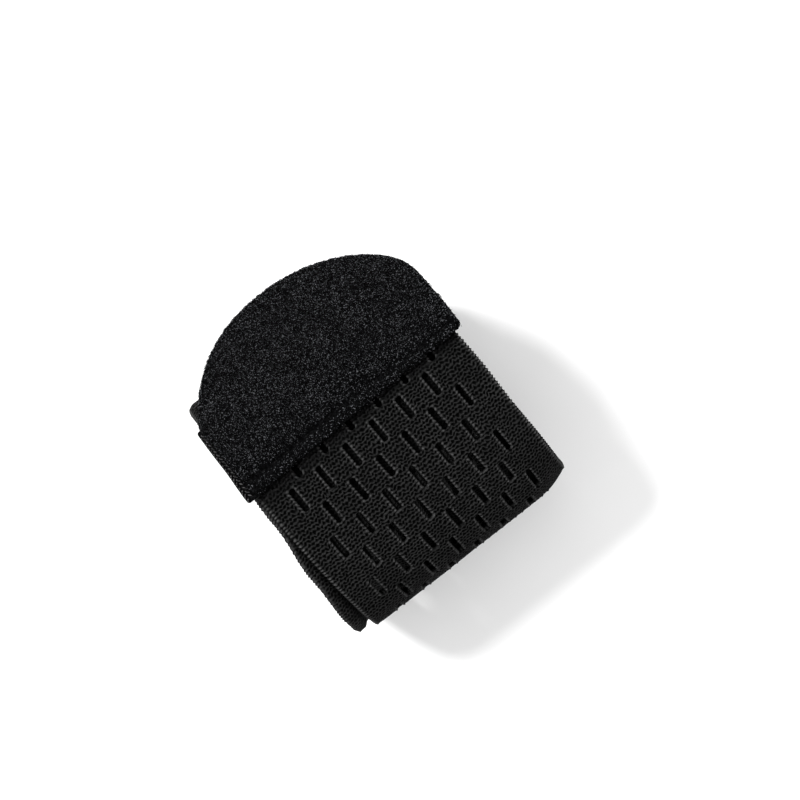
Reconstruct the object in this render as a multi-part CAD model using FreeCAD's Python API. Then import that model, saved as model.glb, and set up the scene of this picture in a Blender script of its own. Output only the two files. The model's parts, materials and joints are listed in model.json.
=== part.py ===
"""A wrist guard of the wrap kind: one long elastic band wound twice round the wrist and closed by a D-shaped
hook-and-loop tab that is sewn to the band's outer end.

Millimetres. X runs along the forearm towards the hand, Y across the wrist, Z up. The guard lies on its flat
palm side, and the origin is on the ground under the middle of its box.

A section across X is an oval of tangent arcs with one short flat on the palm side. A place on it is named by
its station: the angle of the outward normal, 0 at the near side (-Y), 90 on the back of the wrist (+Z), 180 at
the far side (+Y) and 270 on the palm side. Stations go on past 360 for the second turn. A layer is named by
its offset outward from the skin.
"""

import FreeCAD
import Part

import math
import os

os.makedirs("parts", exist_ok=True)
Vector = FreeCAD.Vector

# Wrist: the oval that the band's inner face follows.
WRIST_HALF_BREADTH = 31.0
WRIST_RISE = 20.5  # from the axis to the back of the wrist
WRIST_DROP = 19.0  # from the axis to the flat palm side
SIDE_RADIUS = 13.0
PALM_FLAT_HALF = 8.0

# Band.
BAND_WIDTH = 60.0
BAND_THICKNESS = 1.5
LAYER_GAP = 0.3
INNER_TURN_SHIFT = -1.5  # the band is wound a little askew, so each turn sits at its own place along X
OUTER_TURN_SHIFT = 1.2
INNER_END = 180.0  # stations
CLIMB_START = 495.0
CLIMB_END = 534.0
CLIMB_POINTS = 9

# Fold lines across the band, where the closure comes off the cuff.
UNWRAP_FOLD = 720.0
STRAIGHTEN_FOLD = 782.0
FOLD_GAP = 0.3

# Closure tab: band end or hook tape below, a thin foam core, and a plush loop face on top.
TAB_EDGE = 819.5  # station of the tab's straight edge
TAB_WIDTH = 64.0
TAB_SHIFT = 0.5  # the tab is sewn on slightly off the band's middle
TAB_STRAIGHT = 12.5  # length of the tab before its rounded end
TAB_END_DEPTH = 31.0  # the rounded end is a half ellipse, nearly a half circle
PEEL_FOLD_AHEAD = 2.0  # the band folds this far before the tab's edge
BAND_END_INSIDE = 8.5  # length of band sewn inside the tab
LIFT_OFF = 839.5  # station where the tab leaves the wrist and runs on nearly straight
FREE_RADIUS = 160.0
CORE_THICKNESS = 1.0
FACE_THICKNESS = 1.2
HOOK_INSET = 1.5

# Thread.
STITCH_LENGTH = 2.5
STITCH_PITCH = 3.3
STITCH_SIZE = 0.4
SEAM_DISTANCE = 3.5  # from the tab's straight edge
END_OVERLOCK = 1.3

# Worked out from the above.
WIDE = WRIST_HALF_BREADTH - SIDE_RADIUS
BACK_RADIUS = (WIDE**2 + WRIST_RISE**2 - SIDE_RADIUS**2) / (2 * (WRIST_RISE - SIDE_RADIUS))
PALM_REACH = WIDE - PALM_FLAT_HALF
PALM_RADIUS = (PALM_REACH**2 + WRIST_DROP**2 - SIDE_RADIUS**2) / (2 * (WRIST_DROP - SIDE_RADIUS))
BACK_JOIN = math.degrees(math.atan2(BACK_RADIUS - WRIST_RISE, WIDE))
PALM_JOIN = math.degrees(math.atan2(PALM_RADIUS - WRIST_DROP, PALM_REACH))

INNER = (0.0, BAND_THICKNESS)
OUTER = (BAND_THICKNESS + LAYER_GAP, 2 * BAND_THICKNESS + LAYER_GAP)
CORE = (OUTER[1], OUTER[1] + CORE_THICKNESS)
FACE = (CORE[1], CORE[1] + FACE_THICKNESS)

# (first station, last station, centre y, centre z, skin radius)
ARCS = (
    (-PALM_JOIN, BACK_JOIN, -WIDE, 0.0, SIDE_RADIUS),
    (BACK_JOIN, 180 - BACK_JOIN, 0.0, WRIST_RISE - BACK_RADIUS, BACK_RADIUS),
    (180 - BACK_JOIN, 180 + PALM_JOIN, WIDE, 0.0, SIDE_RADIUS),
    (180 + PALM_JOIN, 270.0, PALM_FLAT_HALF, PALM_RADIUS - WRIST_DROP, PALM_RADIUS),
    (270.0, 360 - PALM_JOIN, -PALM_FLAT_HALF, PALM_RADIUS - WRIST_DROP, PALM_RADIUS),
)


def outward(station):
    """The outward normal at a station."""
    angle = math.radians(station)
    return Vector(0, -math.cos(angle), math.sin(angle))


def forward(station):
    """The direction of winding at a station."""
    angle = math.radians(station)
    return Vector(0, math.sin(angle), math.cos(angle))


def arc_pieces(first, last):
    """(first station, last station, arc) of each arc of the oval between two stations, in winding order."""
    found = []
    turn = math.floor(first / 360) * 360 - 360
    while turn < last + 360:
        for low, high, y, z, radius in ARCS:
            a = max(first, low + turn)
            b = min(last, high + turn)
            if b - a > 1e-6:
                found.append((a, b, (y, z, radius)))
        turn += 360
    return sorted(found)


def on_arc(arc, station, offset):
    """The point at a station of one arc, at an offset from the skin."""
    y, z, radius = arc
    return Vector(0, y, z) + outward(station) * (radius + offset)


def point_at(station, offset):
    """The point at a station and an offset from the skin."""
    return on_arc(arc_pieces(station - 0.01, station + 0.01)[0][2], station, offset)


def degrees_of(length, station, offset):
    """How many degrees of station a length along a layer covers."""
    radius = arc_pieces(station - 0.01, station + 0.01)[0][2][2] + offset
    return math.degrees(length / radius)


def rail(first, last, offset):
    """The edges of the oval between two stations at a fixed offset, in order."""
    edges = []
    end = None
    for a, b, arc in arc_pieces(first, last):
        start = on_arc(arc, a, offset)
        if end is not None and end.distanceToPoint(start) > 1e-6:
            edges.append(Part.LineSegment(end, start).toShape())
        end = on_arc(arc, b, offset)
        edges.append(Part.Arc(start, on_arc(arc, (a + b) / 2, offset), end).toShape())
    return edges


def climb_rail(offset):
    """The edge that rises smoothly from the inner layer to the outer one."""
    points = []
    for i in range(CLIMB_POINTS):
        share = i / (CLIMB_POINTS - 1)
        rise = OUTER[0] * share * share * (3 - 2 * share)
        station = CLIMB_START + (CLIMB_END - CLIMB_START) * share
        points.append(point_at(station, offset + rise))
    curve = Part.BSplineCurve()
    curve.interpolate(Points=points, InitialTangent=forward(CLIMB_START), FinalTangent=forward(CLIMB_END))
    return [curve.toShape()]


def free_rail(offset):
    """The edge of the tab past the lift-off: an arc tangent to the wrist there, long enough to be cut."""
    radius = FREE_RADIUS + offset - OUTER[0]
    centre = point_at(LIFT_OFF, OUTER[0]) - outward(LIFT_OFF) * FREE_RADIUS
    reach = math.degrees(TAB_WIDTH / FREE_RADIUS)
    points = [centre + outward(LIFT_OFF + reach * share) * radius for share in (0, 0.5, 1)]
    return [Part.Arc(*points).toShape()]


def sheet(low, high, width, shift):
    """A closed solid between two rails, which are lists of edges that run the same way."""
    ends = []
    for k in (0, -1):
        a = low[k].Vertexes[k].Point
        b = high[k].Vertexes[k].Point
        ends.append(Part.LineSegment(a, b).toShape())
    face = Part.Face(Part.Wire(Part.__sortEdges__(low + high + ends)))
    solid = face.extrude(Vector(width, 0, 0))
    solid.translate(Vector(shift - width / 2, 0, 0))
    return solid


def layer(first, last, offsets, width=BAND_WIDTH, shift=0.0):
    """A stretch of one layer between two stations."""
    return sheet(rail(first, last, offsets[0]), rail(first, last, offsets[1]), width, shift)


def tab_sheet(offsets, first=TAB_EDGE):
    """The tab's layer before it is cut to the D: concentric with the wrist, then the free stretch."""
    low, high = (rail(first, LIFT_OFF, offset) + free_rail(offset) for offset in offsets)
    return sheet(low, high, TAB_WIDTH + 4, TAB_SHIFT)


def d_cutter(inset):
    """A prism of the tab's D outline, square to the free stretch where it leaves the wrist."""
    origin = point_at(LIFT_OFF, CORE[0]) + Vector(TAB_SHIFT, 0, 0)
    along = forward(LIFT_OFF)
    radius = arc_pieces(LIFT_OFF - 1, LIFT_OFF)[0][2][2] + CORE[0]
    to_lift_off = math.radians(LIFT_OFF - TAB_EDGE) * radius
    middle = origin + along * (TAB_STRAIGHT - to_lift_off)
    behind = middle - along * TAB_WIDTH
    side = Vector(TAB_WIDTH / 2 - inset, 0, 0)
    end = Part.Ellipse(middle + side, middle + along * (TAB_END_DEPTH - inset), middle)
    edges = [
        Part.LineSegment(middle + side, behind + side).toShape(),
        Part.LineSegment(behind + side, behind - side).toShape(),
        Part.LineSegment(behind - side, middle - side).toShape(),
        Part.ArcOfEllipse(end, 0, math.pi).toShape(),
    ]
    face = Part.Face(Part.Wire(edges))
    depth = TAB_WIDTH / 2
    prism = face.extrude(outward(LIFT_OFF) * 2 * depth)
    prism.translate(outward(LIFT_OFF) * -depth)
    return prism


def stitch_row(distance):
    """Short bars of thread in a row across the tab's face."""
    station = TAB_EDGE + degrees_of(distance, TAB_EDGE, FACE[1])
    half = degrees_of(STITCH_SIZE / 2, TAB_EDGE, FACE[1])
    count = int((TAB_WIDTH - 2 * STITCH_LENGTH) / STITCH_PITCH)
    offsets = (FACE[1], FACE[1] + STITCH_SIZE)
    middle = (count - 1) / 2
    return [
        layer(station - half, station + half, offsets, STITCH_LENGTH, TAB_SHIFT + (i - middle) * STITCH_PITCH)
        for i in range(count)
    ]


def band():
    """The band, cut where it changes layer and at the fold lines of the closure."""
    side_radius = SIDE_RADIUS + OUTER[1]
    half_gap = math.degrees(FOLD_GAP / 2 / side_radius)
    back_gap = math.degrees(FOLD_GAP / 2 / (BACK_RADIUS + OUTER[1]))
    peel_fold = TAB_EDGE - degrees_of(PEEL_FOLD_AHEAD, TAB_EDGE, OUTER[1])
    band_end = TAB_EDGE + degrees_of(BAND_END_INSIDE, TAB_EDGE, OUTER[1])
    inner_start = INNER_END + degrees_of(END_OVERLOCK, INNER_END, 0)
    low = climb_rail(0.0) + rail(CLIMB_END, UNWRAP_FOLD - half_gap, OUTER[0])
    high = climb_rail(BAND_THICKNESS) + rail(CLIMB_END, UNWRAP_FOLD - half_gap, OUTER[1])
    return {
        "band_inner_turn": layer(inner_start, CLIMB_START, INNER, shift=INNER_TURN_SHIFT),
        "inner_end_overlock": layer(INNER_END, inner_start, INNER, shift=INNER_TURN_SHIFT),
        "band_outer_turn": sheet(low, high, BAND_WIDTH, OUTER_TURN_SHIFT),
        "band_front_lower": layer(UNWRAP_FOLD + half_gap, STRAIGHTEN_FOLD - back_gap, OUTER),
        "band_front_upper": layer(STRAIGHTEN_FOLD + back_gap, peel_fold - back_gap, OUTER),
        "band_sewn_end": layer(peel_fold + back_gap, band_end, OUTER),
    }


def tab():
    """The closure tab's own pieces."""
    band_end = TAB_EDGE + degrees_of(BAND_END_INSIDE, TAB_EDGE, OUTER[1])
    outline = d_cutter(0.0)
    return {
        "hook_tape": tab_sheet(OUTER, band_end).common(d_cutter(HOOK_INSET)),
        "tab_core": tab_sheet(CORE).common(outline),
        "tab_face": tab_sheet(FACE).common(outline),
        "tab_seam_stitches": Part.makeCompound(stitch_row(SEAM_DISTANCE)),
    }


def fold_lines():
    """The three fold axes, on the band's outer face."""
    peel_fold = TAB_EDGE - degrees_of(PEEL_FOLD_AHEAD, TAB_EDGE, OUTER[1])
    stations = {"strap_unwrap": UNWRAP_FOLD, "strap_straighten": STRAIGHTEN_FOLD, "tab_peel": peel_fold}
    return {name: point_at(station, OUTER[1]) for name, station in stations.items()}


def main():
    nodes = {**band(), **tab()}
    box = Part.makeCompound(list(nodes.values())).optimalBoundingBox(False)
    to_row = Vector(-(box.XMin + box.XMax) / 2, -(box.YMin + box.YMax) / 2, -box.ZMin)
    for name, shape in nodes.items():
        shape.translate(to_row)
        solids = shape.Solids
        valid = all(solid.isValid() for solid in solids)
        print(f"{name}: {len(solids)} solids, {shape.Volume:.1f} mm3, valid {valid}")
        Part.makeCompound(solids).exportStep(f"parts/{name}.step")
    print("wrist axis at", to_row)
    for name, place in fold_lines().items():
        print(name, place + to_row)
    print("box", box.XLength, box.YLength, box.ZLength)


main()
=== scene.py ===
"""Looks of the wrist guard: a perforated elastic band wound nearly twice round the wrist, closed by a
D-shaped hook-and-loop tab.

Lengths in this file are millimetres in the row frame; mesh_object() turns them into metres. Along the band a
place is named by its run, the length from the band's inner end, or by its station, the angle of the outward
normal, and across it by x from the band's middle. The knit repeats in wales across the band and in courses
along it.
"""

import json
import math

import bpy
import numpy as np
from mathutils import Matrix, Vector


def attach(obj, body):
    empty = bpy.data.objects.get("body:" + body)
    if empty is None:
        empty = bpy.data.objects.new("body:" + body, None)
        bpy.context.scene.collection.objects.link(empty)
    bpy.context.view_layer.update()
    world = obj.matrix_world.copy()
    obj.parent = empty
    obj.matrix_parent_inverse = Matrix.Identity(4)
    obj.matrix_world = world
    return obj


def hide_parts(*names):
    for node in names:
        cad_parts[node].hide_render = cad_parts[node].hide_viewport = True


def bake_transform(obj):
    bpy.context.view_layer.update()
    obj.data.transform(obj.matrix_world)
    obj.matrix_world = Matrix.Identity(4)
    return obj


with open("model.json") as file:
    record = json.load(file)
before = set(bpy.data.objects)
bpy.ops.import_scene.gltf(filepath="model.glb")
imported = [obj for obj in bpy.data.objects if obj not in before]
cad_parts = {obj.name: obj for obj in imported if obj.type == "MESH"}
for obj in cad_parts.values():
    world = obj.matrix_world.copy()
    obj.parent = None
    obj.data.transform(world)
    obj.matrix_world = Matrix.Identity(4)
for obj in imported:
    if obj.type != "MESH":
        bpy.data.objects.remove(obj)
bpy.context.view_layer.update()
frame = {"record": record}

MM = 0.001
SEED = 7

RECORD = frame["record"]
WRIST_AXIS = next(np.array(m["pos_m"]) / MM for m in RECORD["mounts"] if m["name"] == "wrist_opening")

# The oval that the band's inner face follows, as in the CAD model.
HALF_BREADTH = 31.0
RISE = 20.5
DROP = 19.0
SIDE_RADIUS = 13.0
PALM_FLAT_HALF = 8.0
WIDE = HALF_BREADTH - SIDE_RADIUS
BACK_RADIUS = (WIDE**2 + RISE**2 - SIDE_RADIUS**2) / (2 * (RISE - SIDE_RADIUS))
PALM_REACH = WIDE - PALM_FLAT_HALF
PALM_RADIUS = (PALM_REACH**2 + DROP**2 - SIDE_RADIUS**2) / (2 * (DROP - SIDE_RADIUS))
BACK_JOIN = math.degrees(math.atan2(BACK_RADIUS - RISE, WIDE))
PALM_JOIN = math.degrees(math.atan2(PALM_RADIUS - DROP, PALM_REACH))

# The band's winding: stations are degrees of the outward normal, counted on through both turns.
THICKNESS = 1.5
BAND_START = 0.8  # the run of the band's cut end, inside its overlock
LAYER_STEP = 1.8
INNER_END = 180.0
CLIMB = (495.0, 534.0)
INNER_PARTING = 347.6  # where one piece of the inner turn meets the next
TAB_EDGE = 819.5
LIFT_OFF = 839.5
BAND_END_INSIDE = 8.5
FREE_RADIUS = 160.0
# (station, shift along X): the band is wound a little askew
ASKEW = (
    (180, 0.4), (230, -1.0), (350, -4.0), (405, -4.2), (428, -3.1), (450, -1.2), (480, 0.0), (560, -0.4),
    (630, 0.6), (720, 0.0), (860, 0.0)
)
# The wrist lies at a small angle to the winding, so the section slides along Y from one edge of the band to
# the other, and the rows of slots are turned back to lie square to the band's edges.
SLIDE = 0.070
FAR_SLIDE = 0.018  # more of it on the far side, and less on the near side
ROW_TURN = 0.075
NEAR_PULL = 0.25  # how far the near side is pulled back towards the axis
NEAR_TAPER = 0.016  # the stretched band is narrower over the near side
HAND_DRAW = 0.8  # and its edge is drawn in there on the hand side
# How far the band's edges draw in towards the wrist: on the hand side, on the elbow side, and at the elbow
# side's very edge; and how far the inner turn's edge flares out where nothing covers it.
HAND_CURL = 3.4
ELBOW_CURL = 0.5
RIM_CURL = 1.3
BARE_FLARE = 1.3

# The tab: places on it are u across from its middle and v along from its straight edge. Heights are from the
# middle face of the band below.
TAB_WIDTH = 64.4
TAB_SHIFT = 0.5
TAB_STRAIGHT = 12.5
TAB_END_DEPTH = 31.7
TAB_LENGTH = TAB_STRAIGHT + TAB_END_DEPTH
TAB_CORNER = 1.3
TAB_TURN = 0.028
TAB_LEAN = (0.5, 2.0)  # towards the elbow at the straight edge, and towards the hand at the rounded end
HOOK_TAPE_BASE = 0.25
HOOK_TAPE_THICKNESS = 0.5
HOOK_INSET = 1.5
HOOK_ROW = 1.5
HOOK_PITCH = 1.4
CORE_BASE = 0.75
CORE_THICKNESS = 1.0
FACE_BASE = 1.75
FACE_THICKNESS = 1.2
FACE_RIM = 1.1
FACE_STEP = 0.25  # of the mesh
EDGE_ROLL = 2.3
CORE_INSET = 0.15
CORE_STEP = 0.6
HOOK_TAPE_STEP = 0.5
SEAM_DISTANCE = 3.4
CREASE_DEPTH = 0.60
STITCH_PITCH = 3.3
STITCH_GAP = 0.35
STITCH_RADIUS = 0.11
WHIP_PITCH = 1.1
WHIP_RADIUS = 0.17
PILE_LOOPS = 18000
PILE_POINTS = 6
PILE_PIECES = 4
# From the tab's middle to where its pile ends on the elbow side, and the slope of that line along v; and the
# same for the outer edge of the bare strip there.
SELVEDGE_LINE = (30.0, 0.05)
SELVEDGE_EDGE = (32.15, -0.011)
SELVEDGE_LENGTH = 21.0
SELVEDGE_TOP = 0.12
SELVEDGE_LOOP = 1.07
SELVEDGE_LOOP_RADIUS = 0.20
SELVEDGE_CHAINS = ((0.24, 0.17), (0.72, -0.17))  # (place, slant) of each, in widths of the strip
SELVEDGE_CORNER = 0.7

# Camera: a long lens nearly straight above, rolled so that the hand would be to the upper right.
CAMERA_TILT = 4.5
CAMERA_TURN = 41.07
CAMERA_LENS = 108.6
CAMERA_DISTANCE = 580.0
CAMERA_ALONG = 9.9
CAMERA_ACROSS = 4.6

# The knit.
WALE = 2.036
WALES = 29.5
WIDTH = WALE * WALES
SLOT_ROW = 7.05
COURSE = SLOT_ROW / 7.5
FIRST_SLOT_ROW = 6.11  # from the tab's straight edge back to the first row of slots
SLOT_LENGTH = 6.0
SLOT_WIDTH = 1.36
FIRST_SLOT_WALE = 3.5
SLOT_COLUMNS = 12
BAR_WAVE = 0.15  # how far neighbouring bars of yarn swing apart and together, in courses
BAR_CHEVRON = 0.20  # how far all of them swing together
BAR_RADIUS = 0.50
YARN_RELIEF = 0.42
BEAD_RELIEF = 0.24
BACK_RELIEF = 0.2
BORDER_BEADS = 0.42  # from the band's edge to the line of beads along it
PICOT = 0.20


def smooth(t):
    """0 to 1 with level ends, for t from 0 to 1."""
    t = np.clip(t, 0, 1)
    return t * t * (3 - 2 * t)


def outward(station):
    """Outward normals (y, z) at stations."""
    a = np.radians(station)
    return np.stack([-np.cos(a), np.sin(a)], -1)


def skin(station):
    """(centres (y, z), radii) of the oval's arcs at stations, about the wrist's axis."""
    s = (np.asarray(station, float) + PALM_JOIN) % 360 - PALM_JOIN
    bounds = [BACK_JOIN, 180 - BACK_JOIN, 180 + PALM_JOIN, 270.0]
    arc = np.searchsorted(bounds, s)
    palm = PALM_RADIUS - DROP
    centres = np.array([
        (-WIDE, 0.0), (0.0, RISE - BACK_RADIUS), (WIDE, 0.0), (PALM_FLAT_HALF, palm), (-PALM_FLAT_HALF, palm)
    ])
    radii = np.array([SIDE_RADIUS, BACK_RADIUS, SIDE_RADIUS, PALM_RADIUS, PALM_RADIUS])
    return centres[arc], radii[arc]


class Path:
    """A smooth curve in the (y, z) plane that is read by its run."""

    def __init__(self, points):
        steps = np.linalg.norm(np.diff(points, axis=0), axis=1)
        keep = np.concatenate([[True], steps > 1e-9])
        self.points = points[keep]
        self.run = np.concatenate([[0.0], np.cumsum(steps[steps > 1e-9])])
        tangent = np.gradient(self.points, self.run, axis=0)
        tangent /= np.linalg.norm(tangent, axis=1)[:, None]
        self.normal = np.stack([-tangent[:, 1], tangent[:, 0]], -1)

    def at(self, run):
        """(points, outward normals) at runs; the ends go on straight."""
        run = np.asarray(run, float)
        place = [np.interp(run, self.run, self.points[:, k]) for k in (0, 1)]
        normal = [np.interp(run, self.run, self.normal[:, k]) for k in (0, 1)]
        place, normal = np.stack(place, -1), np.stack(normal, -1)
        normal /= np.linalg.norm(normal, axis=-1)[..., None]
        beyond = run - np.clip(run, self.run[0], self.run[-1])
        along = np.stack([normal[..., 1], -normal[..., 0]], -1)
        return place + along * beyond[..., None], normal


def band_path():
    """The band's middle surface from its inner end, a function from station to run, and the stations and
    runs it reads."""
    stations = np.arange(INNER_END, LIFT_OFF, 0.05)
    climb = smooth((stations - CLIMB[0]) / (CLIMB[1] - CLIMB[0]))
    offset = THICKNESS / 2 + LAYER_STEP * climb
    centres, radii = skin(stations)
    points = centres + outward(stations) * (radii + offset)[:, None] + WRIST_AXIS[1:]
    # past the lift-off the tab runs on in a wide arc
    radius = FREE_RADIUS + THICKNESS / 2
    onward = LIFT_OFF + np.degrees(np.arange(0.05, 60, 0.05) / radius)
    free = points[-1] + (outward(onward) - outward(stations[-1:])) * radius
    path = Path(np.concatenate([points, free]))
    steps = np.linalg.norm(np.diff(points, axis=0), axis=1)
    runs = np.concatenate([[0.0], np.cumsum(steps)])
    return path, lambda station: float(np.interp(station, stations, runs)), stations, runs


BAND, run_at, BAND_STATIONS, BAND_RUNS = band_path()
EDGE_RUN = run_at(TAB_EDGE)


def askew(run):
    """The band's shift along X at runs, smoothly between the known places."""
    station = np.interp(run, BAND_RUNS, BAND_STATIONS)
    known = np.array(ASKEW, float)
    k = np.clip(np.searchsorted(known[:, 0], station) - 1, 0, len(known) - 2)
    t = smooth((station - known[k, 0]) / (known[k + 1, 0] - known[k, 0]))
    return known[k, 1] * (1 - t) + known[k + 1, 1] * t


def slide(vertices, share=1.0):
    """Millimetre vertices moved along Y by the winding's small angle to the wrist, and the near side pulled
    back a little."""
    x = vertices[:, 0] - WRIST_AXIS[0]
    y = vertices[:, 1] - WRIST_AXIS[1]
    moved = vertices.copy()
    moved[:, 1] -= share * x * (SLIDE + FAR_SLIDE * np.clip(y / HALF_BREADTH, -1, 1))
    moved[:, 1] += NEAR_PULL * np.clip(-y / HALF_BREADTH, 0, 1) ** 2
    return moved


def on_band(x, run, height):
    """Vertices at places of the band: x across it, run along it, height above its middle face."""
    station = np.interp(run, BAND_RUNS, BAND_STATIONS)
    outer = smooth((station - 640) / 60)
    stretched = outer * smooth((792 - station) / 45)
    drawn = outer * smooth((812 - station) / 30) * (0.45 + 0.55 * smooth((station - 715) / 60))
    x = x * (1 - NEAR_TAPER * stretched) - HAND_DRAW * smooth((x - 19) / 10) * drawn
    place, normal = BAND.at(run + ROW_TURN * x)
    x = x + askew(run)
    height = height - edge_curl(x, station)
    yz = place + normal * height[:, None]
    return slide(np.column_stack([WRIST_AXIS[0] + x, yz]))


def edge_curl(x, station):
    """How far the band's edges draw in towards the wrist, round its two sides. On the near side the inner
    turn's bare edge flares out instead."""
    near = (1 + np.cos(np.radians(station))) / 2
    hand = HAND_CURL * np.clip((x - 18.5) / 11.5, 0, 1.2) ** 2.5
    elbow = ELBOW_CURL * np.clip((-x - 25.5) / 4.5, 0, 1.2) ** 2
    rim = RIM_CURL * np.clip((-x - 28.0) / 2.4, 0, 1.1) ** 2
    bare = BARE_FLARE * (station < CLIMB[0]) * smooth((-x - 30.2) / 2.0)
    return near**2.5 * (hand + elbow - bare) + (1 - near) ** 4 * (0.5 * hand + rim)


def hashed(*keys):
    """A repeatable random number from 0 to 1 for each set of whole-number keys."""
    value = np.zeros(np.broadcast(*keys).shape)
    for k, key in enumerate(keys):
        value = value + np.asarray(key, float) * (12.9898, 78.233, 37.719)[k]
    return np.abs(np.sin(value + SEED) * 43758.5453) % 1.0


def waves(x, y, size, salt=0):
    """Smooth noise from -1 to 1 over a plane, with features of about the given size."""
    gx, gy = x / size, y / size
    ix, iy = np.floor(gx), np.floor(gy)
    fx, fy = smooth(gx - ix), smooth(gy - iy)
    corner = [[hashed(ix + a, iy + b, np.full_like(ix, salt)) for b in (0, 1)] for a in (0, 1)]
    low = corner[0][0] * (1 - fy) + corner[0][1] * fy
    high = corner[1][0] * (1 - fy) + corner[1][1] * fy
    return 2 * (low * (1 - fx) + high * fx) - 1


# Knit


def knit_coordinates(x, run):
    """(wales, courses) at points of the band, a little uneven as a real knit is."""
    wales = x / WALE + WALES / 2 + 0.16 * waves(x, run, 2.3, 1) + 0.11 * waves(x, run, 0.9, 2)
    courses = (run - EDGE_RUN) / COURSE + 0.28 * waves(x, run, 2.1, 3) + 0.20 * waves(x, run, 0.9, 4)
    return wales, courses


def yarn(wales, courses):
    """Height of the knit from 0 in a pit to 1 on top of a yarn. Fat wavy bars of yarn lie across the band,
    and there is a pit where two neighbours swing apart."""
    swing = BAR_WAVE * np.cos(4 * np.pi * wales)
    chevron = BAR_CHEVRON * (4 * np.abs(wales % 1 - 0.5) - 1)
    even = np.abs((courses - chevron - swing + 1) % 2 - 1)
    odd = np.abs((courses - chevron + swing) % 2 - 1)
    apart = np.minimum(even, odd) * COURSE
    return np.sqrt(np.clip(1 - (apart / BAR_RADIUS) ** 2, 0, 1))


def slot_distance(x, run):
    """Distance outside the nearest slot's edge, negative inside it, and how nearly beside its long edge."""
    row = np.round((EDGE_RUN - FIRST_SLOT_ROW - run) / SLOT_ROW)
    odd = row % 2
    # odd and even rows use alternate columns
    column = (x / WALE + WALES / 2 - FIRST_SLOT_WALE) / 2
    column = np.clip(2 * np.round((column - odd) / 2) + odd, odd, SLOT_COLUMNS - 2 + odd)
    middle_x = (FIRST_SLOT_WALE + 2 * column - WALES / 2) * WALE + 0.10 * (hashed(row, column) - 0.5)
    middle_run = EDGE_RUN - FIRST_SLOT_ROW - row * SLOT_ROW + 0.25 * (hashed(row, column, 5) - 0.5)
    half_long = SLOT_LENGTH / 2 * (1 + 0.06 * (hashed(row, column, 9) - 0.5))
    lean = 0.03 * (hashed(row, column, 13) - 0.5)
    along = run - middle_run
    across = x - middle_x - lean * along
    beads = 0.09 * np.cos(2 * np.pi * along / COURSE)
    half_wide = SLOT_WIDTH / 2 * (1 + 0.14 * (hashed(row, column, 17) - 0.5)) - beads
    corner = 0.42
    dx = np.abs(across) - half_wide + corner
    dy = np.abs(along) - half_long + corner
    outside = np.hypot(np.maximum(dx, 0), np.maximum(dy, 0))
    distance = outside + np.minimum(np.maximum(dx, dy), 0) - corner
    beside = (1 - smooth((np.abs(along) - half_long + 0.2) / 0.6)) * (1 - smooth((distance - 0.38) / 0.35))
    return distance, beside


# Mesh making


def corner_states(kept, open_rows):
    """(used, edge) for each corner of a grid of cells: whether a kept cell has it, and whether top and bottom
    meet there."""
    ny, nx = kept.shape
    padded = np.zeros((ny + 2, nx + 2), int)
    padded[1:-1, 1:-1] = kept
    around = padded[:-1, :-1] + padded[:-1, 1:] + padded[1:, :-1] + padded[1:, 1:]
    used = around > 0
    edge = used & (around < 4)
    for k in open_rows:
        beside = kept[max(k - 1, 0)]
        edge[k, 1:-1] &= ~(beside[:-1] & beside[1:])
    return used, edge


def grid_shell(rows, columns, distance, open_rows=()):
    """A closed shell over a grid, cut away where distance(column, row) is negative.

    Returns a dict: points (column, row) and side (1 top, -1 bottom, 0 on an edge) for each vertex, faces, and
    walls. On open rows (indices) the shell ends in a flat wall, elsewhere top and bottom meet at its edge."""
    c, r = np.meshgrid(columns, rows)
    ny, nx = c.shape
    kept = distance((c[:-1, :-1] + c[1:, 1:]) / 2, (r[:-1, :-1] + r[1:, 1:]) / 2) > 0
    for _ in range(6):  # a cell with nothing but edge corners has no thickness
        used, edge = corner_states(kept, open_rows)
        flat = edge[:-1, :-1] & edge[:-1, 1:] & edge[1:, :-1] & edge[1:, 1:]
        kept &= ~flat
    used, edge = corner_states(kept, open_rows)
    snapped = edge.copy()
    snapped[[0, -1]] = snapped[:, [0, -1]] = False
    e = 0.01
    for _ in range(3):  # corners on a hole's rim move onto its outline
        d = distance(c, r)
        gc = (distance(c + e, r) - distance(c - e, r)) / (2 * e)
        gr = (distance(c, r + e) - distance(c, r - e)) / (2 * e)
        scale = np.where(snapped, d / np.maximum(gc**2 + gr**2, 0.3), 0)
        c, r = c - gc * scale, r - gr * scale
    top = np.full((ny, nx), -1)
    top[used] = np.arange(used.sum())
    bottom = top.copy()
    double = used & ~edge
    bottom[double] = used.sum() + np.arange(double.sum())
    side = np.concatenate([np.where(edge[used], 0, 1), -np.ones(double.sum(), int)])
    points = np.concatenate([np.stack([c[used], r[used]], -1), np.stack([c[double], r[double]], -1)])
    j, i = np.nonzero(kept)
    up = np.stack([top[j, i], top[j, i + 1], top[j + 1, i + 1], top[j + 1, i]], -1)
    down = np.stack([bottom[j, i], bottom[j + 1, i], bottom[j + 1, i + 1], bottom[j, i + 1]], -1)
    walls = []
    for k in open_rows:
        for i in np.nonzero(kept[max(k - 1, 0)])[0]:
            a, b = (i, i + 1) if k > 0 else (i + 1, i)  # each end's wall faces outward
            walls.append((top[k, a], top[k, b], bottom[k, b], bottom[k, a]))
    return {"points": points, "side": side, "faces": np.concatenate([up, down]), "walls": walls}


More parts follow.
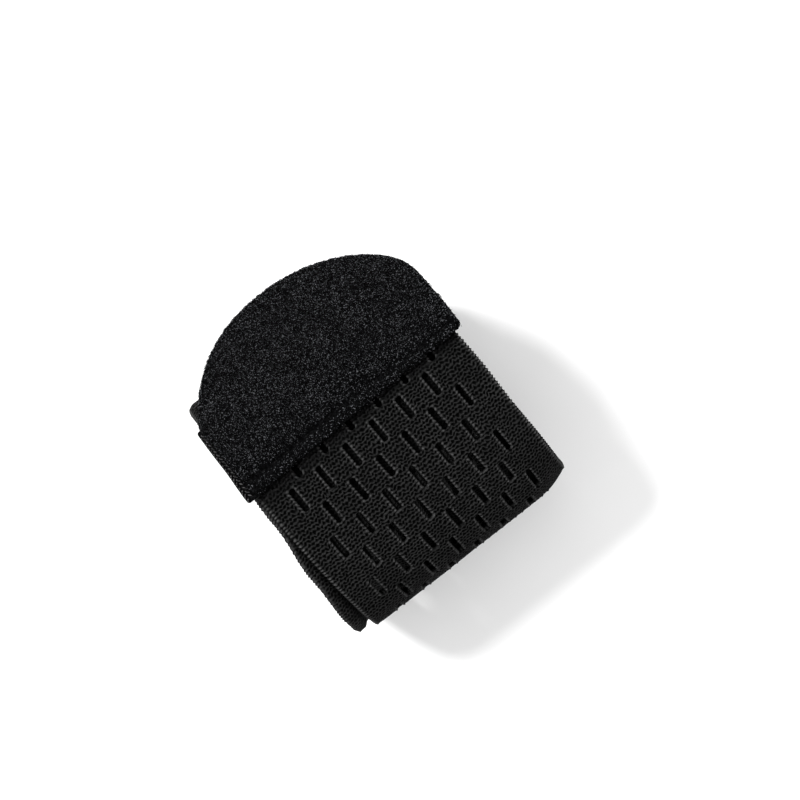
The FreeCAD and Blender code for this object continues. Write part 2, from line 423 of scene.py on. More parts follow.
def mesh_object(name, vertices, faces, material, walls=(), values=None, uv=None):
    """A mesh object from millimetre vertices and faces, all with as many corners. Walls are more faces, which
    may have repeated corners. values are named numbers per vertex that the material reads, and uv is a pair
    per vertex."""
    mesh = bpy.data.meshes.new(name)
    loose = []
    for quad in walls:
        corners = list(dict.fromkeys(int(v) for v in quad))
        if len(corners) > 2:
            loose.append(corners)
    faces = np.asarray(faces)
    loops = np.concatenate([faces.ravel(), np.array([v for f in loose for v in f], int)])
    sizes = np.concatenate([np.full(len(faces), faces.shape[1]), np.array([len(f) for f in loose], int)])
    starts = np.concatenate([[0], np.cumsum(sizes)[:-1]])
    mesh.vertices.add(len(vertices))
    mesh.vertices.foreach_set("co", (np.asarray(vertices) * MM).astype(np.float32).ravel())
    mesh.loops.add(len(loops))
    mesh.loops.foreach_set("vertex_index", loops.astype(np.int32))
    mesh.polygons.add(len(sizes))
    mesh.polygons.foreach_set("loop_start", starts.astype(np.int32))
    mesh.polygons.foreach_set("loop_total", sizes.astype(np.int32))
    mesh.polygons.foreach_set("use_smooth", np.ones(len(sizes), bool))
    for key, numbers in (values or {}).items():
        attribute = mesh.attributes.new(key, "FLOAT", "POINT")
        attribute.data.foreach_set("value", np.asarray(numbers, np.float32))
    if uv is not None:
        layer = mesh.uv_layers.new(name="lay")
        layer.data.foreach_set("uv", np.asarray(uv)[loops].astype(np.float32).ravel())
    mesh.update()
    mesh.validate()
    mesh.materials.append(material)
    obj = bpy.data.objects.new(name, mesh)
    bpy.context.scene.collection.objects.link(obj)
    return obj


def tubes(lines, radius, sides=6):
    """(vertices, quads, end caps) of round threads along lines, an array of (line, point, xyz)."""
    lines = np.asarray(lines, float)
    count, length, _ = lines.shape
    radius = np.broadcast_to(np.asarray(radius, float), (count, length))
    tangent = np.gradient(lines, axis=1)
    tangent /= np.maximum(np.linalg.norm(tangent, axis=2, keepdims=True), 1e-12)
    guide = np.broadcast_to(np.array([0.31, 0.52, 0.80]), tangent.shape)
    first = np.cross(tangent, guide)
    first /= np.maximum(np.linalg.norm(first, axis=2, keepdims=True), 1e-12)
    second = np.cross(tangent, first)
    angle = 2 * np.pi * np.arange(sides) / sides
    ring = first[:, :, None] * np.cos(angle)[:, None] + second[:, :, None] * np.sin(angle)[:, None]
    vertices = lines[:, :, None] + ring * radius[:, :, None, None]
    index = np.arange(count * length * sides).reshape(count, length, sides)
    a, b = index[:, :-1], index[:, 1:]
    quads = np.stack([a, np.roll(a, -1, 2), np.roll(b, -1, 2), b], -1).reshape(-1, 4)
    caps = np.concatenate([index[:, 0, ::-1], index[:, -1]])
    return vertices.reshape(-1, 3), quads, caps.tolist()


# Materials


class Nodes:
    """A short way to write a material's node tree."""

    def __init__(self, name):
        self.material = bpy.data.materials.new(name)
        self.material.use_nodes = True
        self.tree = self.material.node_tree
        self.shader = self.tree.nodes["Principled BSDF"]

    def new(self, kind, **settings):
        node = self.tree.nodes.new(kind)
        for key, value in settings.items():
            setattr(node, key, value)
        return node

    def link(self, source, target):
        self.tree.links.new(source, target)

    def put(self, socket, value):
        if isinstance(value, bpy.types.NodeSocket):
            self.link(value, socket)
        else:
            socket.default_value = value

    def math(self, operation, *values):
        node = self.new("ShaderNodeMath", operation=operation)
        for socket, value in zip(node.inputs, values):
            self.put(socket, value)
        return node.outputs[0]

    def blend(self, share, low, high):
        """Between two colours by a share."""
        node = self.new("ShaderNodeMix", data_type="RGBA")
        self.put(node.inputs["Factor"], share)
        for socket, value in ((node.inputs[6], low), (node.inputs[7], high)):
            self.put(socket, value)
        return node.outputs[2]

    def ramp(self, value, low, high, to_low=0.0, to_high=1.0):
        node = self.new("ShaderNodeMapRange", clamp=True)
        for socket, number in zip(node.inputs, (value, low, high, to_low, to_high)):
            self.put(socket, number)
        return node.outputs[0]

    def noise(self, vector, scale, detail=2.0, roughness=0.5):
        node = self.new("ShaderNodeTexNoise")
        self.put(node.inputs["Vector"], vector)
        self.put(node.inputs["Scale"], scale)
        self.put(node.inputs["Detail"], detail)
        self.put(node.inputs["Roughness"], roughness)
        return node.outputs["Fac"]

    def value(self, name):
        return self.new("ShaderNodeAttribute", attribute_name=name).outputs["Fac"]

    def place(self):
        return self.new("ShaderNodeTexCoord").outputs["Object"]

    def bump(self, height, distance, strength=1.0, normal=None):
        node = self.new("ShaderNodeBump")
        node.inputs["Distance"].default_value = distance
        node.inputs["Strength"].default_value = strength
        self.put(node.inputs["Height"], height)
        if normal is not None:
            self.link(normal, node.inputs["Normal"])
        return node.outputs["Normal"]

    def finish(self, colour, roughness, normal=None, **constants):
        self.put(self.shader.inputs["Base Color"], colour)
        self.put(self.shader.inputs["Roughness"], roughness)
        if normal is not None:
            self.link(normal, self.shader.inputs["Normal"])
        for key, value in constants.items():
            self.shader.inputs[key.replace("_", " ")].default_value = value
        return self.material


def grey(level, tint=(1.0, 1.0, 1.0)):
    """A nearly neutral colour of a level."""
    return (level * tint[0], level * tint[1], level * tint[2], 1.0)


COOL = (0.96, 0.99, 1.06)
# Levels of grey: PIT is the near black painted as shade in the pits between the yarns, and the darkest of the
# loop ground; the lit levels are the yarn, and the beads and loops painted lighter as highlights where they
# catch the light.
PIT = 0.0003
LIT_YARN = 0.0275
LIT_BEAD = 0.072
LIT_LOOP = 0.16


def knit_material():
    """Black polyester knit: fat bars of yarn over pits, painted black as shade, drawn on the band's own
    coordinates, with beads painted lighter as highlights beside its slots and borders, and shed fluff with
    painted shadow by the tab."""
    n = Nodes("elastic_knit")
    uv = n.new("ShaderNodeUVMap", uv_map="lay").outputs["UV"]
    split = n.new("ShaderNodeSeparateXYZ")
    n.link(uv, split.inputs[0])
    wales, courses = split.outputs["X"], split.outputs["Y"]
    swing = n.math("MULTIPLY", n.math("COSINE", n.math("MULTIPLY", wales, 4 * math.pi)), BAR_WAVE)
    fold = n.math("ABSOLUTE", n.math("SUBTRACT", n.math("FRACT", wales), 0.5))
    line = n.math("SUBTRACT", courses, n.math("MULTIPLY_ADD", fold, 4 * BAR_CHEVRON, -BAR_CHEVRON))
    even = n.math("PINGPONG", n.math("SUBTRACT", line, swing), 1.0)
    odd = n.math("PINGPONG", n.math("ADD", n.math("ADD", line, swing), 1.0), 1.0)
    apart = n.math("MULTIPLY", n.math("MINIMUM", even, odd), COURSE)
    place = n.place()
    fibre = n.noise(place, 5200.0, 2.0, 0.6)
    patch = n.noise(place, 160.0, 2.0)
    loops = n.noise(place, 850.0, 1.0)
    bar = n.ramp(apart, 0.08, n.ramp(loops, 0.3, 0.7, 0.35, 0.48), 1.0, 0.0)
    bar = n.math("POWER", bar, 2.1)
    lit = n.math("MULTIPLY", bar, n.ramp(loops, 0.3, 0.7, 0.55, 1.15))
    lit = n.math("MULTIPLY", lit, n.ramp(fibre, 0.3, 0.7, 0.4, 1.4))
    # the shade value darkens the yarn with painted shade: under the outer turn, by the tab, at the edges and
    # between the border beads
    lit = n.math("MULTIPLY", lit, n.value("shade"))
    colour = n.blend(lit, grey(PIT), grey(LIT_YARN))
    bead = n.math("MULTIPLY", n.value("bead"), n.ramp(fibre, 0.3, 0.7, 0.7, 1.0))
    colour = n.blend(bead, colour, grey(LIT_BEAD))
    colour = n.blend(n.ramp(patch, 0.35, 0.7, 0.0, 0.25), colour, grey(0.003))
    # shed fluff from the pile and painted shadow: just below the tab's edge the knit fades into dark blotches
    blot = n.noise(place, 1900.0, 2.0)
    lint_and_shadow = n.math("MULTIPLY", n.value("lint_and_shadow"), n.ramp(loops, 0.3, 0.6, 0.4, 1.0))
    colour = n.blend(lint_and_shadow, colour, n.blend(n.ramp(blot, 0.42, 0.66), grey(PIT), grey(0.010)))
    normal = n.bump(lit, 0.00016, 0.7)
    normal = n.bump(fibre, 0.00005, 0.8, normal)
    return n.finish(colour, n.ramp(loops, 0.2, 0.8, 0.5, 0.72), normal, Specular_IOR_Level=0.01)


def pile_ground_material():
    """The ground of the loop fabric, dark between its loops."""
    n = Nodes("loop_ground")
    place = n.place()
    loops = n.noise(place, 2300.0, 2.0, 0.65)
    patch = n.noise(place, 190.0, 2.0)
    colour = n.blend(n.ramp(loops, 0.45, 0.7), grey(PIT, COOL), grey(0.006, COOL))
    colour = n.blend(n.ramp(patch, 0.35, 0.7, 0.0, 0.3), colour, grey(0.002, COOL))
    normal = n.bump(loops, 0.0003, 0.9)
    return n.finish(colour, 0.85, normal, Specular_IOR_Level=0.01)


def pile_fibre_material():
    """Fine nylon loops, a few painted lighter as highlights where they catch the light, the rest near black.
    """
    n = Nodes("loop_fibre")
    place = n.place()
    strand = n.noise(place, 3100.0, 1.0)
    patch = n.noise(place, 140.0, 2.0)
    # painted highlights: a few specks of the loops are lit, the rest near black
    colour = n.blend(n.ramp(strand, 0.56, 0.68), grey(0.0006, COOL), grey(LIT_LOOP, COOL))
    colour = n.blend(n.ramp(patch, 0.35, 0.65, 0.0, 0.35), colour, grey(0.004, COOL))
    return n.finish(colour, n.ramp(strand, 0.3, 0.7, 0.4, 0.6), Specular_IOR_Level=0.01)


def foam_material():
    """Thin black foam: fine open cells."""
    n = Nodes("foam")
    cells = n.new("ShaderNodeTexVoronoi")
    cells.inputs["Scale"].default_value = 3600.0
    n.link(n.place(), cells.inputs["Vector"])
    depth = cells.outputs["Distance"]
    colour = n.blend(n.ramp(depth, 0.1, 0.6), grey(0.010), grey(0.003))
    return n.finish(colour, 0.9, n.bump(depth, 0.00012, 0.6), Specular_IOR_Level=0.05)


def tape_material():
    """Woven ground of the hook tape: a fine plain weave."""
    n = Nodes("hook_ground")
    place = n.place()
    split = n.new("ShaderNodeSeparateXYZ")
    n.link(place, split.inputs[0])
    across = n.math("SINE", n.math("MULTIPLY", split.outputs["X"], 2 * math.pi / 0.00055))
    along = n.math("SINE", n.math("MULTIPLY", split.outputs["Y"], 2 * math.pi / 0.00055))
    weave = n.math("MULTIPLY", across, along)
    fuzz = n.noise(place, 2600.0, 2.0)
    colour = n.blend(n.ramp(weave, -1.0, 1.0), grey(0.0015), grey(0.006))
    colour = n.blend(n.ramp(fuzz, 0.4, 0.7, 0.0, 0.4), colour, grey(0.003))
    return n.finish(colour, 0.6, n.bump(weave, 0.0001, 0.7), Specular_IOR_Level=0.05)


def hook_material():
    """Moulded nylon hooks, slightly glossy."""
    n = Nodes("hooks")
    tone = n.noise(n.place(), 900.0, 1.0)
    colour = n.blend(tone, grey(0.02), grey(0.06))
    return n.finish(colour, n.ramp(tone, 0.3, 0.7, 0.25, 0.4), Specular_IOR_Level=0.3)


def thread_material(name, light):
    """Spun black polyester thread with a fine twist; light is the level of its lit fibres."""
    n = Nodes(name)
    place = n.place()
    twist = n.new("ShaderNodeTexWave", bands_direction="DIAGONAL")
    twist.inputs["Scale"].default_value = 900.0
    twist.inputs["Distortion"].default_value = 2.5
    n.link(place, twist.inputs["Vector"])
    ply = twist.outputs["Fac"]
    fuzz = n.noise(place, 4200.0, 2.0)
    colour = n.blend(n.math("MULTIPLY", ply, fuzz), grey(0.0004), grey(light))
    return n.finish(colour, 0.6, n.bump(ply, 0.00006, 0.6), Specular_IOR_Level=0.03)


KNIT = knit_material()
GROUND = pile_ground_material()
FIBRE = pile_fibre_material()
FOAM = foam_material()
TAPE = tape_material()
HOOK = hook_material()
THREAD = thread_material("thread", 0.05)
SEAM_THREAD = thread_material("seam_thread", 0.02)
CHAIN = thread_material("selvedge_chain", 0.12)


# Band


def lip(distance, radius):
    """How far a rounded edge has risen to full thickness, 0 at the edge to 1."""
    t = np.clip(1 - distance / radius, 0, 1)
    return np.sqrt(np.clip(1 - t * t, 0, 1))


def band_piece(name, start, end, per_wale, per_row, relief):
    """A stretch of the band between two runs. per_wale and per_row are how many grid steps make a wale and a
    row of slots, and relief is how much of the yarns' height is in the mesh."""
    columns = (np.arange(int(WALES * per_wale) + 1) / per_wale - WALES / 2) * WALE
    first = EDGE_RUN - FIRST_SLOT_ROW
    low = math.ceil((start - first) / SLOT_ROW * per_row - 1e-6)
    high = math.floor((end - first) / SLOT_ROW * per_row + 1e-6)
    rows = first + np.arange(low, high + 1) * SLOT_ROW / per_row
    if rows[0] - start > 1e-6:
        rows = np.concatenate([[start], rows])
    if end - rows[-1] > 1e-6:
        rows = np.concatenate([rows, [end]])
    shell = grid_shell(rows, columns, lambda c, r: slot_distance(c, r)[0], (0, len(rows) - 1))
    x, run = shell["points"].T
    side = shell["side"]
    slot, beside = slot_distance(x, run)
    border = WIDTH / 2 - np.abs(x)
    wales, courses = knit_coordinates(x, run)
    low_yarn = (1 - yarn(wales, courses)) * (0.6 + 0.4 * smooth(border / 3.0))
    bead = beside * (0.55 + 0.45 * np.cos(2 * np.pi * courses))
    # a line of beads runs along each border, with painted shade in the gaps between them
    pulse = smooth(0.5 + 0.5 * np.cos(2 * np.pi * courses))
    rim = np.exp(-(((border - BORDER_BEADS) / 0.27) ** 2)) * pulse
    gap = np.exp(-(((border - BORDER_BEADS) / 0.40) ** 2)) * (1 - pulse)
    bead = np.maximum(bead, rim)
    face = THICKNESS / 2 - relief * YARN_RELIEF * low_yarn + relief * BEAD_RELIEF * bead
    back = THICKNESS / 2 - relief * BACK_RELIEF * low_yarn
    rounding = np.minimum(lip(slot, 0.42), lip(border, 0.5))
    height = np.where(side > 0, face, -back) * rounding * np.abs(side)
    # small loops stand out along both selvedges
    picot = PICOT * np.clip(np.cos(2 * np.pi * courses), -0.4, 1) * smooth(1 - border / 0.9)
    x = x + np.sign(x) * picot
    vertices = on_band(x, run, height + undulation(x, run))
    # shed fluff from the pile and painted shadow darken and blur the knit just below the tab's edge
    lint_and_shadow = 0.95 * smooth(1 - (EDGE_RUN - run) / 3.8) * (side > 0)
    values = {"bead": bead * (side > 0), "shade": shade(x, run, side) * (1 - 0.85 * gap), "lint_and_shadow": lint_and_shadow}
    uv = np.column_stack([wales, courses])
    obj = mesh_object(name, vertices, shell["faces"], KNIT, shell["walls"], values=values, uv=uv)
    return obj


def shade(x, run, side):
    """How light the yarn is: darker on the skin side, painted shade where the outer turn keeps the inner one
    covered, painted shadow under the tab and just below its edge, fainter painted shade further towards it,
    and painted shade at the very edges."""
    inner = 1 - smooth((run - run_at(CLIMB[0])) / 12)
    # painted shade on the inner turn wherever the outer turn covers it
    covered = smooth((x + askew(run) + WIDTH / 2 + 1.3) / 1.1)
    # painted shadow under the tab and just below its straight edge, and fainter painted shade further towards
    # it
    by_tab = smooth(1 - (EDGE_RUN - run) / 4.4)
    near_tab = smooth(1 - (EDGE_RUN - run) / 24.0)
    border = WIDTH / 2 - np.abs(x)
    # painted shade by the tab and along the very edges
    painted_shade = (1 - 0.5 * by_tab) * (1 - 0.32 * near_tab) * (0.5 + 0.5 * smooth(border / 0.3))
    return np.where(side < 0, 0.6, (1 - 0.82 * inner * covered) * painted_shade)


def undulation(x, run):
    """How far the outer turn stands off the inner one: a soft band is never quite even. It is level where the
    guard rests and where the tab holds it."""
    station = np.interp(run, BAND_RUNS, BAND_STATIONS)
    free = smooth((station - 560) / 40) * (1 - smooth((station - 600) / 10))
    free = free + smooth((station - 660) / 30) * (1 - smooth((station - 790) / 25))
    ripple = 0.5 + 0.5 * waves(x, run, 9.0, 21)
    flare = smooth((np.abs(x) - WIDTH / 2 + 4.0) / 4.0)
    edge_ripple = 0.5 + 0.5 * waves(x * 0 + np.sign(x) * 50, run, 8.0, 25)
    return free * (0.22 * ripple + 0.35 * flare * edge_ripple)


def cut_run(rows):
    """The run half-way between two rows of slots, counted back from the tab's edge."""
    return EDGE_RUN - FIRST_SLOT_ROW - SLOT_ROW * (rows + 0.5)


def band():
    """The whole band, in stretches; the pairs are grid steps per wale and per row of slots."""
    fine = (14, 48)
    close = (12, 42)
    medium = (8, 28)
    plain = (4, 16)
    lengths = {
        "band_front_sewn": (cut_run(0), EDGE_RUN + BAND_END_INSIDE, fine),
        "band_front_top": (cut_run(2), cut_run(0), fine),
        "band_front_middle": (cut_run(4), cut_run(2), fine),
        "band_front_side": (cut_run(7), cut_run(4), close),
        "band_outer_palm": (cut_run(12), cut_run(7), medium),
        "band_outer_far": (run_at(CLIMB[0]), cut_run(12), medium),
        "band_inner_back": (run_at(INNER_PARTING), run_at(CLIMB[0]), plain),
        "band_inner_palm": (BAND_START, run_at(INNER_PARTING), plain),
    }
    made = {}
    for name, (start, end, (per_wale, per_row)) in lengths.items():
        obj = band_piece(name, start, end, per_wale, per_row, 1.0 if per_wale > 10 else 0.7)
        made[name] = obj
    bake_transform(made["band_front_sewn"])
    for name in ("band_front_top", "band_front_middle"):
        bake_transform(made[name])
    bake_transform(made["band_front_side"])
    for name in ("band_outer_palm", "band_outer_far", "band_inner_back", "band_inner_palm"):
        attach(made[name], "cuff")
    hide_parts("band_sewn_end")
    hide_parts("band_front_upper")
    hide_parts("band_front_lower")
    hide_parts("band_outer_turn")
    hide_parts("band_inner_turn")


def inner_end():
    """Whip stitches over the band's cut inner end."""
    count = int(WIDTH / WHIP_PITCH)
    x = (np.arange(count) - (count - 1) / 2) * WHIP_PITCH
    t = np.linspace(0, 1, 12)[None]
    angle = 2 * np.pi * t * 1.12
    lx = x[:, None] + WHIP_PITCH * (t - 0.5)
    run = 0.85 - 0.945 * np.cos(angle) + 0 * lx
    height = 0.82 * np.sin(angle) + 0 * lx
    lines = on_band(lx.ravel(), run.ravel(), height.ravel()).reshape(count, 12, 3)
    vertices, quads, caps = tubes(lines, WHIP_RADIUS, 7)
    obj = mesh_object("inner_end_thread", vertices, quads, THREAD, caps)
    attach(obj, "cuff")
    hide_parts("inner_end_overlock")


# Tab


def tab_inside(u, v, inset=0.0):
    """Distance inside the tab's D outline, at u across from its middle and v along from its straight edge."""
    half, depth = TAB_WIDTH / 2 - inset, TAB_END_DEPTH - inset
    side = half - np.abs(u)
    front = v - inset
    both = (side < TAB_CORNER) & (front < TAB_CORNER)
    corner = TAB_CORNER - np.hypot(TAB_CORNER - side, TAB_CORNER - front)
    straight = np.where(both, corner, np.minimum(side, front))
    past = np.maximum(v - TAB_STRAIGHT, 1e-6)
    ring = np.hypot(u / half, past / depth)
    steep = np.hypot(u / half**2, past / depth**2)
    rounded = (1 - ring) * ring / np.maximum(steep, 1e-9)
    return np.where(v > TAB_STRAIGHT, np.minimum(rounded, front), straight)


def on_tab(u, v, height):
    """Vertices at places of the tab; height is from the middle face of the band below it."""
    to_elbow = TAB_LEAN[0] * (1 - smooth(v / 10))
    to_hand = TAB_LEAN[1] * smooth((v - 12) / 16) * smooth((u + 34) / 10)
    x = TAB_SHIFT + u - to_elbow + to_hand
    run = EDGE_RUN + v + TAB_TURN * u * (1 - smooth(v / 30))
    place, normal = BAND.at(run)
    vertices = np.column_stack([WRIST_AXIS[0] + x, place + normal * height[:, None]])
    return slide(vertices, 0.68 + 0.25 * smooth(v / 42))


def selvedge_line(v, line):
    """How far out from the tab's middle a line along the bare strip on its elbow side is."""
    return line[0] + line[1] * v


def selvedge_inside(u, v):
    """Distance inside the bare strip's outline, which reaches in under the pile."""
    side = np.minimum(u + selvedge_line(v, SELVEDGE_EDGE), 1.5 - selvedge_line(v, SELVEDGE_LINE) - u)
    ends = np.minimum(v + 0.3, SELVEDGE_LENGTH - v)
    both = (side < SELVEDGE_CORNER) & (ends < SELVEDGE_CORNER)
    corner = SELVEDGE_CORNER - np.hypot(SELVEDGE_CORNER - side, SELVEDGE_CORNER - ends)
    return np.where(both, corner, np.minimum(side, ends))


def face_inside(u, v):
    """Distance inside the plush face."""
    return np.minimum(tab_inside(u, v), u + selvedge_line(v, SELVEDGE_LINE))


def crease_line(u):
    """Where the seam's crease runs: nearer to the tab's edge on the hand side."""
    return SEAM_DISTANCE + 0.30 * waves(u, u * 0, 9.0, 31) - 1.1 * smooth((u + 8) / 24)


def crease_depth(u):
    """How sharp the crease is, from 0 to 1."""
    return 0.45 + 0.55 * smooth((2 - u) / 16) * smooth((u + 31) / 5)


def face_top(u, v):
    """Height of the plush face's ground above the core: a rounded rim, a crease where the band is sewn on,
    and soft hollows."""
    inside = face_inside(u, v)
    rise = lip(np.minimum(inside, FACE_RIM), FACE_RIM)
    roll = lip(np.clip(v, 0, EDGE_ROLL), EDGE_ROLL)
    past = v - crease_line(u)
    steep = np.where(past > 0, 0.45, 1.1)
    crease = crease_depth(u) * np.exp(-((past / steep) ** 2))
    strip = 1 - smooth((past + 0.3) / 1.0)
    soft = 0.09 * waves(u, v, 6.5, 33) + 0.07 * waves(u, v, 2.6, 34)
    height = FACE_THICKNESS * (0.80 - 0.12 * strip) - CREASE_DEPTH * crease + soft * smooth(inside / 2)
    return height * rise * (0.25 + 0.75 * roll)


def tab_grid(step):
    """(rows, columns) of a grid over the whole tab and a little past it."""
    columns = np.arange(-TAB_WIDTH / 2 - 2 * step, TAB_WIDTH / 2 + 2.5 * step, step)
    return np.arange(-2 * step, TAB_LENGTH + 2.5 * step, step), columns


def tab_face():
    """The plush face's ground, a padded D with a bare flat strip along its elbow side."""
    rows, columns = tab_grid(FACE_STEP)
    shell = grid_shell(rows, columns, lambda u, v: np.maximum(face_inside(u, v), selvedge_inside(u, v)))
    u, v = shell["points"].T
    side = shell["side"]
    grain = 0.10 * waves(u, v, 0.62, 35) + 0.06 * waves(u, v, 0.34, 36)
    plush = face_inside(u, v)
    top = np.where(plush > 0, face_top(u, v), 0) + grain * smooth(plush / 0.8)
    top = np.maximum(top, SELVEDGE_TOP * lip(selvedge_inside(u, v), 0.4))
    height = FACE_BASE + np.where(side > 0, top, 0.0) + np.where(side == 0, 0.12, 0)
    obj = mesh_object("tab_face_ground", on_tab(u, v, height), shell["faces"], GROUND)
    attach(obj, "tab")
    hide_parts("tab_face")


def tab_pile():
    """The loops of the plush face: fine curled fibres lying every way over its ground."""
    random = np.random.default_rng(SEED)
    tries = 3 * PILE_LOOPS
    u = random.uniform(-TAB_WIDTH / 2, TAB_WIDTH / 2, tries)
    v = random.uniform(0, TAB_LENGTH, tries)
    inside = face_inside(u, v)
    # the fibres thin out a little on the flattened strip by the straight edge, and part over the crease
    flat = 1 - smooth((v - SEAM_DISTANCE + 0.5) / 1.5)
    clump = 0.78 + 0.22 * waves(u, v, 1.7, 41)
    parted = np.exp(-(((v - crease_line(u)) / 0.60) ** 2)) * crease_depth(u)
    share = clump * (1 - 0.25 * flat) * (1 - 0.85 * parted)
    keep = (inside > 0.05) & (random.uniform(size=tries) < share)
    u, v, flat, parted = (a[keep][:PILE_LOOPS] for a in (u, v, flat, parted))
    count = len(u)
    heading = random.uniform(0, 2 * np.pi, count)
    length = random.uniform(0.55, 1.35, count) * (1 - 0.5 * parted)
    rise = random.uniform(0.22, 0.58, count) * (1 - 0.45 * flat)
    curl = random.uniform(-0.45, 0.45, count)
    t = np.linspace(0, 1, PILE_POINTS)[None]
    along = length[:, None] * (t - 0.5 + 0.12 * np.sin(2 * np.pi * t + 6 * curl[:, None]))
    beside = curl[:, None] * np.sin(np.pi * t) + 0.1 * np.sin(3 * np.pi * t + 9 * curl[:, None])
    lu = u[:, None] + along * np.cos(heading)[:, None] - beside * np.sin(heading)[:, None]
    lv = v[:, None] + along * np.sin(heading)[:, None] + beside * np.cos(heading)[:, None]
    overhang = np.clip(-face_inside(lu, lv), 0, None)
    lu = lu - np.sign(lu) * np.clip(overhang - 0.25, 0, None)
    lv = np.clip(lv, -0.25, TAB_LENGTH + 0.25)
    crease = np.exp(-(((lv - crease_line(lu)) / 0.55) ** 2)) * crease_depth(lu)
    arch = rise[:, None] * np.sin(np.pi * t) ** 0.7 * (1 - 0.85 * crease)
    ground = face_top(lu.ravel(), lv.ravel()).reshape(lu.shape)
    height = FACE_BASE - 0.12 + np.maximum(ground, 0) + arch - 0.6 * np.clip(overhang, 0, 0.5)
    lines = on_tab(lu.ravel(), lv.ravel(), height.ravel()).reshape(count, PILE_POINTS, 3)
    radius = random.uniform(0.040, 0.066, count)[:, None] * np.ones(PILE_POINTS)
    for k, part in enumerate(np.array_split(np.arange(count), PILE_PIECES)):
        vertices, quads, caps = tubes(lines[part], radius[part], 3)
        obj = mesh_object(f"tab_pile_{k + 1}", vertices, quads, FIBRE, caps)
        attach(obj, "tab")


def tab_core():
    """The thin foam core."""
    rows, columns = tab_grid(CORE_STEP)
    shell = grid_shell(rows, columns, lambda u, v: tab_inside(u, v, CORE_INSET))
    u, v = shell["points"].T
    full = lip(tab_inside(u, v, CORE_INSET), 0.6)
    grain = 0.04 * waves(u, v, 0.9, 51)
    height = CORE_BASE + CORE_THICKNESS / 2 * (1 + shell["side"] * full) + grain
    obj = mesh_object("tab_foam", on_tab(u, v, height), shell["faces"], FOAM)
    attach(obj, "tab")
    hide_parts("tab_core")


def hook_ground():
    """The woven ground of the hook tape, under the tab from the band's end to its rounded rim."""
    step = HOOK_TAPE_STEP

    def inside(u, v):
        return np.minimum(tab_inside(u, v, HOOK_INSET), v - BAND_END_INSIDE - 0.1)

    columns = np.arange(-TAB_WIDTH / 2, TAB_WIDTH / 2 + 0.5 * step, step)
    rows = np.arange(BAND_END_INSIDE - step, TAB_LENGTH + 0.5 * step, step)
    shell = grid_shell(rows, columns, inside)
    u, v = shell["points"].T
    side = shell["side"]
    full = lip(inside(u, v), 0.3)
    weave = 0.03 * np.cos(2 * np.pi * u) * np.cos(2 * np.pi * v)
    height = HOOK_TAPE_BASE + HOOK_TAPE_THICKNESS / 2 * (1 + side * full) + weave * (side < 0)
    obj = mesh_object("hook_tape_ground", on_tab(u, v, height), shell["faces"], TAPE)
    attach(obj, "tab")
    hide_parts("hook_tape")
    return inside


def hooks(inside):
    """Small moulded hooks in staggered rows, facing the layer below."""
    random = np.random.default_rng(SEED + 1)
    rows = np.arange(BAND_END_INSIDE + 1.0, TAB_LENGTH, HOOK_ROW)
    places = []
    for j, v in enumerate(rows):
        start = -TAB_WIDTH / 2 + (j % 2) * HOOK_PITCH / 2
        places += [(u, v) for u in np.arange(start, TAB_WIDTH / 2, HOOK_PITCH)]
    u, v = np.array(places).T
    keep = inside(u, v) > 0.7
    u, v = u[keep], v[keep]
    count = len(u)
    u = u + random.uniform(-0.08, 0.08, count)
    way = np.where((np.arange(count) % 2) == 0, 1.0, -1.0)
    # stem, crown and returning tip of a hook
    lean = np.array([0.0, 0.02, 0.10, 0.28, 0.44, 0.50])
    drop = np.array([-0.10, 0.35, 0.68, 0.84, 0.74, 0.52])
    lu = u[:, None] + 0.06 * random.uniform(-1, 1, (count, 1)) * drop
    lv = v[:, None] + way[:, None] * lean
    height = HOOK_TAPE_BASE - drop[None] * random.uniform(0.92, 1.02, (count, 1))
    lines = on_tab(lu.ravel(), lv.ravel(), height.ravel()).reshape(count, len(lean), 3)
    thick = np.array([0.19, 0.16, 0.15, 0.14, 0.13, 0.09])
    vertices, quads, caps = tubes(lines, thick, 6)
    obj = mesh_object("hook_tape_hooks", vertices, quads, HOOK, caps)
    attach(obj, "tab")


def tab_seam():
    """The stitches that hold the band in the tab, sunk in the crease."""
    count = int((TAB_WIDTH - 4) / STITCH_PITCH)
    middle = (np.arange(count) - (count - 1) / 2) * STITCH_PITCH
    t = np.linspace(-0.5, 0.5, 7)[None]
    u = middle[:, None] + t * (STITCH_PITCH - STITCH_GAP)
    v = crease_line(u) + 0.04 * np.sin(9 * u)
    sink = 0.36 * (2 * np.abs(t)) ** 3
    height = FACE_BASE + face_top(u.ravel(), v.ravel()).reshape(u.shape) - 0.05 - sink
    lines = on_tab(u.ravel(), v.ravel(), height.ravel()).reshape(count, 7, 3)
    vertices, quads, caps = tubes(lines, STITCH_RADIUS, 8)
    obj = mesh_object("tab_seam_thread", vertices, quads, SEAM_THREAD, caps)
    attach(obj, "tab")
    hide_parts("tab_seam_stitches")


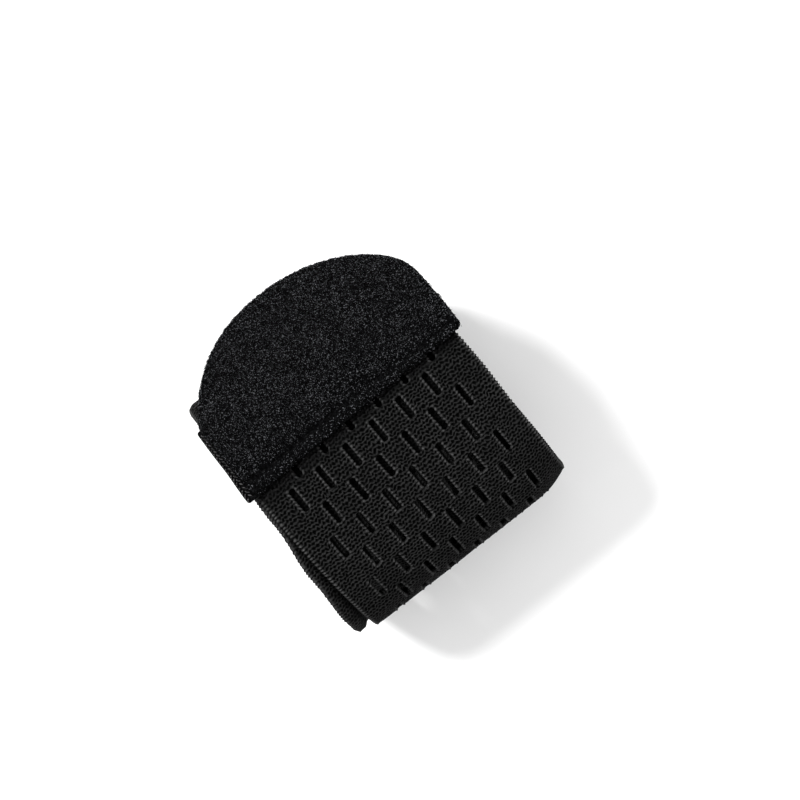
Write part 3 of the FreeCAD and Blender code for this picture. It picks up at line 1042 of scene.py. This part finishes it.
def tab_selvedge():
    """The bare knitted edge of the loop fabric along the tab's elbow side: two chains of small loops."""
    loops = int((SELVEDGE_LENGTH - SELVEDGE_CORNER * 2) / SELVEDGE_LOOP)
    t = np.linspace(0, 1, 9)[None]
    lines = []
    for chain, (place, slant) in enumerate(SELVEDGE_CHAINS):
        start = (np.arange(loops)[:, None] + 0.5 * chain) * SELVEDGE_LOOP
        v = start + t * SELVEDGE_LOOP * 0.85
        reach = selvedge_line(v, SELVEDGE_EDGE)
        strip = reach - selvedge_line(v, SELVEDGE_LINE)
        u = (place + slant * (2 * t - 1)) * strip - reach
        uneven = 0.06 * hashed(np.arange(loops)[:, None], chain + 3)
        height = FACE_BASE + 0.18 + 0.30 * np.sin(np.pi * t) + uneven
        lines.append(on_tab(u.ravel(), v.ravel(), height.ravel()).reshape(loops, 9, 3))
    radius = SELVEDGE_LOOP_RADIUS * (0.4 + 0.6 * np.sin(np.pi * t))
    vertices, quads, caps = tubes(np.concatenate(lines), radius, 7)
    obj = mesh_object("tab_selvedge", vertices, quads, CHAIN, caps)
    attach(obj, "tab")


def tab():
    tab_face()
    tab_pile()
    tab_core()
    hooks(hook_ground())
    tab_seam()
    tab_selvedge()


# Camera, floor and light


def point_camera():
    """A long lens from almost straight above, turned so that the hand is to the upper right."""
    tilt, turn = math.radians(CAMERA_TILT), math.radians(CAMERA_TURN)
    back = Vector((0, -math.sin(tilt), math.cos(tilt)))
    along = Vector((1, 0, 0))
    across = back.cross(along)
    right = along * math.cos(turn) - across * math.sin(turn)
    up = along * math.sin(turn) + across * math.cos(turn)
    data = bpy.data.cameras.new("camera")
    data.lens = CAMERA_LENS
    data.sensor_width = 36.0
    camera = bpy.data.objects.new("camera", data)
    bpy.context.scene.collection.objects.link(camera)
    target = Vector(WRIST_AXIS) + along * CAMERA_ALONG + across * CAMERA_ACROSS
    pose = Matrix((right, up, back)).transposed().to_4x4()
    pose.translation = (target + back * CAMERA_DISTANCE) * MM
    camera.matrix_world = pose
    bpy.context.scene.camera = camera


def area_light(name, place, target, size, power):
    data = bpy.data.lights.new(name, "AREA")
    data.shape = "DISK"
    data.size = size
    data.energy = power
    light = bpy.data.objects.new(name, data)
    light.location = place
    light.rotation_mode = "QUATERNION"
    light.rotation_quaternion = (Vector(target) - Vector(place)).to_track_quat("-Z", "Y")
    bpy.context.scene.collection.objects.link(light)


def studio():
    """A pale floor under a white room with two large soft lights."""
    n = Nodes("pale_floor")
    mottle = n.noise(n.place(), 40.0, 2.0)
    n.finish(n.blend(mottle, grey(0.86), grey(0.90)), 0.6, Specular_IOR_Level=0.2)
    half = 3.0
    corners = [(-half, -half, 0), (half, -half, 0), (half, half, 0), (-half, half, 0)]
    floor = mesh_object("floor", np.array(corners) / MM, [[0, 1, 2, 3]], n.material)
    world = bpy.data.worlds.new("studio")
    world.use_nodes = True
    world.node_tree.nodes["Background"].inputs["Color"].default_value = (1.0, 1.0, 1.0, 1.0)
    world.node_tree.nodes["Background"].inputs["Strength"].default_value = 0.66
    bpy.context.scene.world = world
    bpy.context.scene.view_settings.view_transform = "Standard"
    area_light("key", (-0.30, 0.60, 0.70), (0, 0, 0.02), 0.30, 15.0)
    area_light("fill", (0.55, -0.35, 0.55), (0, 0, 0.02), 0.6, 4.0)


band()
inner_end()
tab()
studio()
point_camera()
